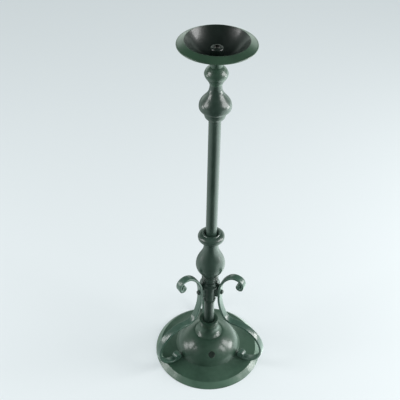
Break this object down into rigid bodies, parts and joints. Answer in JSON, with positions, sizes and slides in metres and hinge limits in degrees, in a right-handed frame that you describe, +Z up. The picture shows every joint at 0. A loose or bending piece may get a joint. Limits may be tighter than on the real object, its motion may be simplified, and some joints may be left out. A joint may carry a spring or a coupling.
{
  "type": "candlestick",
  "caption": "Tall turned-column candlestick with a domed round base, flat-bar scroll braces round the column and a drip pan on top.",
  "frame": {"origin": "on the table, where the column's axis meets it, under the middle of the round base", "axes": "+Z up along the column; -Y is the front, with one scroll to the front right, one to the front left and one at the back (+Y)"},
  "size_m": [0.1992, 0.2107, 0.6575],
  "materials": {
    "base_enamel": "gloss dark green enamel over metal, worn a little lighter at edges",
    "column_enamel": "gloss dark green enamel",
    "scroll_enamel": "gloss dark green enamel on bent flat bar",
    "pan_enamel": "gloss very dark green enamel",
    "screw_blacked": "dark green over steel",
    "bright_steel": "plain steel, dull"
  },
  "bodies": {
    "root": {"base_shell": "base_enamel", "neck": "column_enamel", "lower_tube": "column_enamel", "hub": "column_enamel", "flange": "column_enamel", "ringed_waist": "column_enamel", "baluster": "column_enamel", "collar": "column_enamel", "column_tube": "column_enamel", "column_seat": "column_enamel", "bell": "column_enamel", "top_bead": "column_enamel", "pan_seat": "column_enamel", "drip_pan": "pan_enamel", "pan_washer": "pan_enamel", "pan_nut": "pan_enamel", "threaded_rod": "bright_steel", "base_washer": "bright_steel", "lock_washer": "bright_steel", "base_nut": "bright_steel", "scroll_arm_right": "scroll_enamel", "arm_screw_right": "screw_blacked", "scroll_arm_left": "scroll_enamel", "arm_screw_left": "screw_blacked", "scroll_arm_back": "scroll_enamel", "arm_screw_back": "screw_blacked"}
  },
  "joints": []
}
